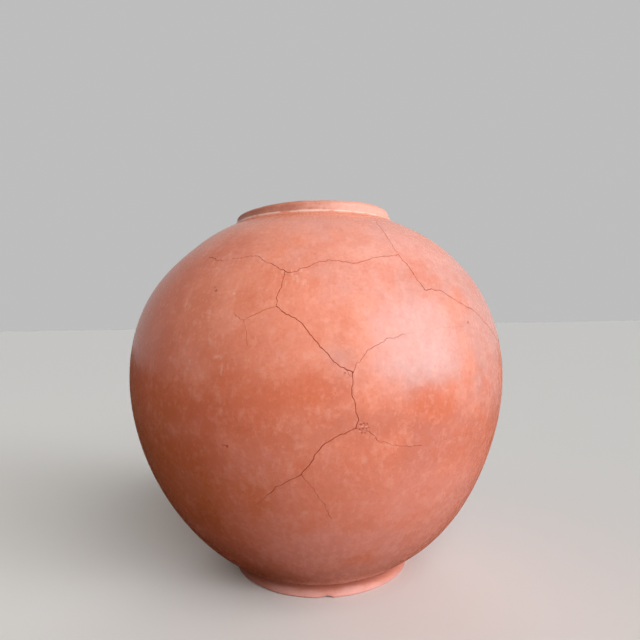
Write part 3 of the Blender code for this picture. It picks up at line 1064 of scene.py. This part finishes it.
def collar_clay():
    finish = Finish(bpy.data.materials.new("collar_clay"))
    place = finish.place()
    patch = finish.cloud(place, 60, 5, 0.65)
    grain = finish.cloud(place, 420, 4, 0.7)
    across = finish.cloud(finish.vector("MULTIPLY", place, (40, 40, 500)), 1, 3, 0.6)
    side = finish.node("ShaderNodeSeparateXYZ", None, {"Vector": place}, "X")
    rise = finish.node("ShaderNodeSeparateXYZ", None, {"Vector": place}, "Z")
    wander = 0.06 * (patch - 0.5) + 0.02 * (grain - 0.5)
    # Painted shade and painted light: darker red on the left of the collar, paler on its right.
    painted_light_side = finish.rise(side + wander, COLLAR_SHADE_TO, COLLAR_LIT_FROM)
    colour = finish.mix(painted_light_side, COLLAR_SHADE_RED, COLLAR_LIT_PALE)
    lip = finish.rise(rise - RIM_TILT * side + 0.05 * wander, LIP_FROM, LIP_TO)
    colour = finish.mix(0.40 * lip, colour, COLLAR_ORANGE)
    smear = finish.rise(rise + 0.03 * wander, SMEAR_TOP, SMEAR_FOOT)
    colour = finish.mix(0.75 * smear, colour, SALMON)
    # Painted highlight: a pale line along the root of the collar.
    below = finish.rise(rise, SMEAR_TOP, SMEAR_TOP - HIGHLIGHT_LINE_TOP)
    above = finish.rise(rise, SMEAR_FOOT - HIGHLIGHT_LINE_FOOT, SMEAR_FOOT)
    line = below * above * finish.rise(patch, 0.40, 0.50)
    colour = finish.mix(0.75 * line, colour, CHALK)
    colour = finish.mix(0.25 * finish.rise(patch, 0.52, 0.72), colour, PALE)
    colour = finish.scaled(colour, 1 + 0.35 * (across - 0.5) + 0.5 * (grain - 0.5))
    roughness = COLLAR_ROUGHNESS + 0.3 * (grain - 0.5)
    finish.surface(colour, roughness, 0.5 * across + 0.3 * grain + patch, COLLAR_RELIEF)
    return finish.owner


def base_clay():
    finish = Finish(bpy.data.materials.new("base_clay"))
    place = finish.place()
    patch = finish.cloud(place, 60, 4, 0.6)
    grain = finish.cloud(place, 380, 4, 0.7)
    across = finish.cloud(finish.vector("MULTIPLY", place, (25, 25, 900)), 1, 3, 0.6)
    blotch = finish.rise(patch + 0.3 * (grain - 0.5), 0.45, 0.70)
    colour = finish.mix(0.6 * blotch, FOOT_PINK, FOOT_RED)
    aside = finish.node("ShaderNodeSeparateXYZ", None, {"Vector": place}, "X")
    height = finish.node("ShaderNodeSeparateXYZ", None, {"Vector": place}, "Z")
    # Painted shade: the pale foot darkens to the wall's tone in shade, higher up and more at the right.
    right = finish.rise(aside, SHADE_RIGHT_FROM, SHADE_RIGHT_TO)
    level = height + FOOT_SHADE_TILT * right + 0.008 * (patch - 0.5)
    colour = finish.mix(finish.rise(level, FOOT_PALE_TO, FOOT_PALE_FROM), colour, FOOT_WALL_SHADE)
    # Painted shade: the left of the foot is painted browner.
    colour = finish.mix(0.75 * finish.rise(aside, SHADE_LEFT_FROM, SHADE_LEFT_TO), colour, FOOT_LEFT_SHADE)
    colour = finish.scaled(colour, 1 + 0.2 * (across - 0.5) + 0.3 * (grain - 0.5))
    roughness = FOOT_ROUGHNESS + 0.2 * (grain - 0.5)
    finish.surface(colour, roughness, 0.5 * across + 0.6 * grain, FOOT_RELIEF)
    return finish.owner


# %% [markdown]
# Which faces carry the skin
#
# Only the outside of a sherd is burnished. A face gets the skin where it lies near the outer surface
# and looks the same way as the wall there. The sides of the breaks and the inside get the raw clay,
# and so do the steep sides of the pits.

# %% Give the finishes to the pieces
SKIN_DEPTH = 0.0035
SKIN_FACING = 0.93
NORMAL_STEP = 0.002


def wall_normal(place):
    """Direction square to the even wall at a place on it."""
    latitude = math.atan2(place.z - BELLY_HEIGHT, place.xy.length)
    low_radius, low_height = section_point(latitude - NORMAL_STEP)
    high_radius, high_height = section_point(latitude + NORMAL_STEP)
    outwards = place.xy.normalized() * (high_height - low_height)
    return Vector((*outwards, low_radius - high_radius)).normalized()


burnished = burnished_clay()
raw = raw_clay()
for sherd in sherds:
    sherd.data.materials.clear()
    sherd.data.materials.append(burnished)
    sherd.data.materials.append(raw)
    for face in sherd.data.polygons:
        from_centre = face.center - BELLY_CENTRE
        latitude = math.atan2(from_centre.z, from_centre.xy.length)
        outside = from_centre.length > reach(latitude) - SKIN_DEPTH
        facing = face.normal.dot(wall_normal(face.center)) > SKIN_FACING
        face.material_index = 0 if outside and facing else 1
collar.data.materials.clear()
collar.data.materials.append(collar_clay())
base.data.materials.clear()
base.data.materials.append(base_clay())
print("materials:", [material.name for material in bpy.data.materials])

# %% [markdown]
# Floor and light
#
# The vase stands on a plain pale floor. A very broad key light comes from the right, the front and
# above, a low one lifts the right of the underside and a weaker one reaches the back. These three
# make no highlight. The sheen on the belly is drawn by a window-like soft box at the right, which
# shows in the gloss alone, and a warm soft box fills the left. The floor is pale to the eye but
# gives back little light, and shows in the gloss at a small share, because a floor as bright as this
# one would wash out the dark clay of the underside.

# %% Floor
FLOOR_SIZE = 30
FLOOR_PALE = (0.82, 0.82, 0.81)
FLOOR_BOUNCE = (0.16, 0.06, 0.025)
FLOOR_MIRRORED = 0.06

start_clean()
bpy.ops.mesh.primitive_plane_add(size=FLOOR_SIZE)
floor = bpy.context.object
floor.name = "floor"
floor_finish = Finish(bpy.data.materials.new("floor"))
pale = floor_finish.node("ShaderNodeBsdfDiffuse", None, {"Color": (*FLOOR_PALE, 1)})
bounce = floor_finish.node("ShaderNodeBsdfDiffuse", None, {"Color": (*FLOOR_BOUNCE, 1)})
seen = floor_finish.in_sight(FLOOR_MIRRORED)
chosen = floor_finish.node("ShaderNodeMixShader", None, {0: seen, 1: bounce, 2: pale})
floor_finish.node("ShaderNodeOutputMaterial", None, {"Surface": chosen})
floor.data.materials.append(floor_finish.owner)
print("floor", FLOOR_SIZE, "m")

# %% Light
KEY_FROM = Vector((0.47, -0.75, 0.47))
KEY_STRENGTH = 3.02
KEY_SPREAD = math.radians(70)
WINDOW_FROM = Vector((0.79, -0.54, 0.29))
LAMP_DISTANCE = 1.2
WINDOW_SIZE = (1.1, 0.8)
WINDOW_POWER = 10.5
WINDOW_COLOUR = (0.54, 0.84, 1.0)
LOW_FROM = Vector((0.88, -0.42, 0.08))
LOW_STRENGTH = 2.4
LOW_SPREAD = math.radians(25)
BACK_FROM = Vector((0.10, 0.97, 0.20))
BACK_STRENGTH = 1.3
BACK_SPREAD = math.radians(50)
FILL_FROM = Vector((-0.72, -0.26, 0.64))
FILL_SIZE = (0.8, 0.8)
FILL_POWER = 1.2
FILL_COLOUR = (1.0, 0.82, 0.62)
AMBIENT = 0.060
AMBIENT_COLOUR = (1.0, 0.90, 0.78)
BACKGROUND = 0.51


def broad_light(name, direction, strength, spread):
    """A light from far away that is soft because it fills a wide angle. It makes no highlight."""
    lamp_data = bpy.data.lights.new(name, "SUN")
    lamp_data.energy = strength
    lamp_data.angle = spread
    lamp = bpy.data.objects.new(name, lamp_data)
    lamp.rotation_euler = direction.to_track_quat("Z", "Y").to_euler()
    lamp.visible_glossy = False
    bpy.context.scene.collection.objects.link(lamp)


def soft_box(name, direction, size, power, colour):
    """A rectangular lamp that faces the middle of the belly."""
    lamp_data = bpy.data.lights.new(name, "AREA")
    lamp_data.shape = "RECTANGLE"
    lamp_data.size, lamp_data.size_y = size
    lamp_data.energy = power
    lamp_data.color = colour
    lamp = bpy.data.objects.new(name, lamp_data)
    lamp.location = BELLY_CENTRE + direction.normalized() * LAMP_DISTANCE
    lamp.rotation_euler = direction.to_track_quat("Z", "Y").to_euler()
    lamp.visible_camera = False
    bpy.context.scene.collection.objects.link(lamp)
    return lamp


broad_light("key", KEY_FROM, KEY_STRENGTH, KEY_SPREAD)
broad_light("low", LOW_FROM, LOW_STRENGTH, LOW_SPREAD)
broad_light("back", BACK_FROM, BACK_STRENGTH, BACK_SPREAD)
window = soft_box("window", WINDOW_FROM, WINDOW_SIZE, WINDOW_POWER, WINDOW_COLOUR)
window.visible_diffuse = False
soft_box("fill", FILL_FROM, FILL_SIZE, FILL_POWER, FILL_COLOUR)

world = bpy.data.worlds.new("studio")
bpy.context.scene.world = world
sky = Finish(world)
soft = sky.node("ShaderNodeBackground", None, {"Color": (*AMBIENT_COLOUR, 1), "Strength": AMBIENT})
backdrop = sky.node("ShaderNodeBackground", None, {"Color": (1, 1, 1, 1), "Strength": BACKGROUND})
chosen = sky.node("ShaderNodeMixShader", None, {0: sky.in_sight(), 1: soft, 2: backdrop})
sky.node("ShaderNodeOutputWorld", None, {"Surface": chosen})
bpy.context.scene.view_settings.view_transform = "Standard"
print("lights:", [lamp.name for lamp in bpy.data.lights])
